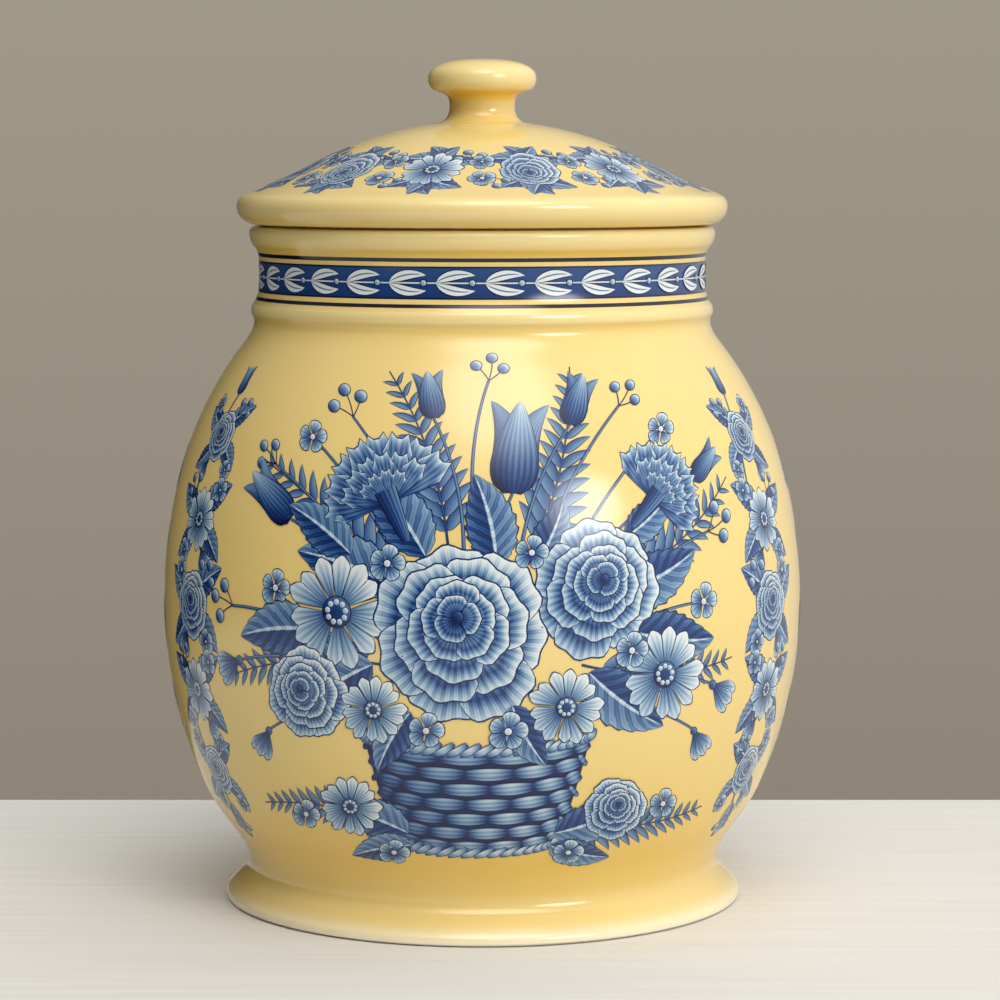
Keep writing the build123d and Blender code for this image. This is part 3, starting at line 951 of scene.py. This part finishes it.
# The stem flares out to where it runs into the dome, along the dome's own slope
joint_radius = (stem_radius + flare) / (1 + flare / dome_curve)
joint_z = dome_top - dome_curve + (dome_curve**2 - joint_radius**2) ** 0.5
stem_low = joint_z + flare * (1 - (joint_radius / dome_curve) ** 2) ** 0.5
flare_run, _ = arc((stem_radius, stem_low), (joint_radius, joint_z), down)
skirt_radius = joint_radius + 0.0012
skirt = (skirt_radius, dome_top - dome_curve + (dome_curve**2 - skirt_radius**2) ** 0.5 - 0.0001)
turn = np.linspace(0, pi / 2, 25)
cap_run = np.stack((knob_radius * np.cos(turn) ** cap_square,
                    cap_widest[1] + (knob_top - cap_widest[1]) * np.sin(turn) ** cap_square), 1)
knob_outline = joined(
    line((0, knob_seat), (skirt[0], knob_seat), 0.004),
    line((skirt[0], knob_seat), skirt),
    line(skirt, (joint_radius, joint_z), 0.0004),
    flare_run[::-1],
    line((stem_radius, stem_low), (stem_radius, stem_high)),
    arc((stem_radius, stem_high), cap_foot, up)[0],
    arc(cap_widest, cap_foot, down)[0][::-1],
    cap_run,
)
knob_outline = soften(knob_outline, cap_foot, 0.0016)
knob = turned_piece("glazed_knob", Turned(knob_outline, uneven=(0, 0)), glaze, segments=144)
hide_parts("lid_knob")
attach(knob, "lid")

# Seal
# A soft ring of milky silicone, moulded with three raked fins, stretched over the flange into its groove.
# Its fins wipe the bore of the neck as the lid goes down.

seal_inside = seal_floor + 0.0003
seal_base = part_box("lid_seal")[0].z
seal_band = seal_inside + 0.0013
seal_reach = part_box("lid_seal")[1].x
seal_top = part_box("lid_seal")[1].z
fin_count = 3
fin_root, fin_tip, fin_rake = 0.0015, 0.0008, 0.0006

seal_corners = [(seal_inside, seal_base), (seal_band, seal_base)]
for fin in range(fin_count):
    fin_z = seal_base + (fin + 0.5) * (seal_top - seal_base) / fin_count
    seal_corners += [
        (seal_band, fin_z - fin_root / 2),
        (seal_reach, fin_z + fin_rake - fin_tip / 2),
        (seal_reach, fin_z + fin_rake + fin_tip / 2),
        (seal_band, fin_z + fin_root / 2),
    ]
seal_corners += [(seal_band, seal_top), (seal_inside, seal_top)]
seal_outline = path(*seal_corners, seal_corners[0], step=0.0005)
for corner in seal_corners[1:]:
    seal_outline = soften(seal_outline, corner, 0.00025, 3)
silicone = Finish("milky_silicone", IOR=1.41, Subsurface_Weight=0.25, Subsurface_Scale=0.002)
spot = silicone.node("ShaderNodeTexCoord", output="Object")
bloom = silicone.node("ShaderNodeTexNoise", None, {"Vector": spot, "Scale": 120.0, "Detail": 3.0})
milky = silicone.blended(bloom, (0.66, 0.66, 0.62, 1.0), (0.76, 0.76, 0.72, 1.0))
silicone.give(Base_Color=milky, Roughness=0.38 + 0.2 * bloom)
seal = turned_piece("silicone_seal", Turned(seal_outline, uneven=(0, 0)), silicone, segments=192)
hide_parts("lid_seal")
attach(seal, "seal")

# Table, room and camera
# A plain pale board ends a hand's breadth behind the jar, in front of a plain grey-brown room. Three
# soft panels light the jar from above, from the front and from the right, and a weak one its back.

table_back = 0.134
table_front = -0.75
table_half_width = 0.75
table_thickness = 0.03

table_mesh = bpy.data.meshes.new("table")
top = [(-table_half_width, table_front), (table_half_width, table_front),
       (table_half_width, table_back), (-table_half_width, table_back)]
corners = [(x, y, z) for z in (-table_thickness, 0.0) for x, y in top]
table_mesh.from_pydata(corners, [], [(3, 2, 1, 0), (4, 5, 6, 7)] + [
    (k, (k + 1) % 4, (k + 1) % 4 + 4, k + 4) for k in range(4)])
board_paint = Finish("board_paint", Roughness=0.7)
place = board_paint.node("ShaderNodeTexCoord", output="Object")
streaks = board_paint.node("ShaderNodeMapping", None, {"Vector": place, "Scale": (9.0, 240.0, 240.0)})
brushing = board_paint.node("ShaderNodeTexNoise", None, {"Vector": streaks, "Scale": 1.0, "Detail": 6.0})
board_colour = board_paint.blended(board_paint.eased(brushing, 0.25, 0.75),
                                   (0.68, 0.665, 0.63, 1.0), (0.73, 0.715, 0.68, 1.0))
board_paint.give(Base_Color=board_colour)
table_mesh.materials.append(board_paint.material)
table = in_scene("table", table_mesh)

world = bpy.data.worlds.new("room")
bpy.context.scene.world = world
world.use_nodes = True
room = Nodes(world.node_tree)
direction = room.node("ShaderNodeTexCoord", output="Generated")


def room_shade(axis, low, high, first, last):
    """A colour that changes with one part of the direction, between two values of it."""
    part = room.node("ShaderNodeSeparateXYZ", None, {"Vector": direction}, output=axis)
    share = room.node("ShaderNodeMapRange", None, {"Value": part, "From Min": low, "From Max": high})
    return room.node("ShaderNodeValToRGB", {"stops": ((0.0, first), (1.0, last))}, {"Fac": share})


# The camera sees a plain wall. The jar sees a room that is dark on its left and bright on its right.
wall_low, wall_high = -sin(radians(10.8)), sin(radians(2.5))
wall = room_shade("Z", wall_low, wall_high, (0.270, 0.234, 0.187), (0.350, 0.317, 0.252))
daylight = room_shade("X", -0.35, 1.0, (0.015, 0.014, 0.012), (0.98, 0.97, 0.95))
ceiling = room_shade("Z", 0.25, 0.95, (0.0, 0.0, 0.0), (0.54, 0.535, 0.52))
adding = {"data_type": "RGBA", "blend_type": "ADD"}
room_light = room.node("ShaderNodeMix", adding, {0: 1.0, 6: daylight, 7: ceiling}, output=2)
for_camera = room.node("ShaderNodeLightPath", output="Is Camera Ray")
room.set(room.tree.nodes["Background"].inputs["Color"], room.blended(for_camera, room_light, wall))

aim = Vector((0, 0, 0.12))


def soft_panel(name, azimuth, elevation, distance, width, height, watts):
    """A soft oval light that faces the jar and fades to its edge, so many degrees to the right and up."""
    lamp = bpy.data.lights.new(name, "AREA")
    lamp.shape, lamp.size, lamp.size_y = "ELLIPSE", width, height
    lamp.energy, lamp.color = watts, (1.0, 0.98, 0.95)
    lamp.use_nodes = True
    glow = Nodes(lamp.node_tree)
    spot = glow.node("ShaderNodeNewGeometry", output="Parametric")
    from_middle = {0: spot, 1: (0.5, 0.5, 0.0)}
    off_centre = glow.node("ShaderNodeVectorMath", {"operation": "DISTANCE"}, from_middle, output="Value")
    glow.set(glow.tree.nodes["Emission"].inputs["Strength"], 2.0 * glow.eased(off_centre, 0.5, 0.22))
    panel = in_scene(name, lamp)
    side, rise = radians(azimuth), radians(elevation)
    away = Vector((sin(side) * cos(rise), -cos(side) * cos(rise), sin(rise)))
    panel.location = aim + away * distance
    panel.rotation_euler = away.to_track_quat("Z", "Y").to_euler()
    return panel


soft_panel("overhead_panel", 10, 57, 2.8, 2.5, 2.5, 22.0)
soft_panel("key_panel", 39, 19, 2.6, 1.55, 1.1, 19.0)
soft_panel("front_panel", 2, 54, 3.0, 3.6, 3.6, 20.0)
soft_panel("back_panel", 180, 20, 3.0, 2.6, 1.6, 6.0).visible_glossy = False

camera_distance = 0.9476
camera_height = 0.2061
camera_side = 0.0049
camera_pitch = radians(5.78)
camera = in_scene("camera", bpy.data.cameras.new("camera"))
camera.data.lens = 123.2
camera.location = (camera_side, -camera_distance, camera_height)
camera.rotation_euler = (pi / 2 - camera_pitch, 0, 0)
bpy.context.scene.camera = camera
bpy.context.scene.view_settings.view_transform = "Standard"
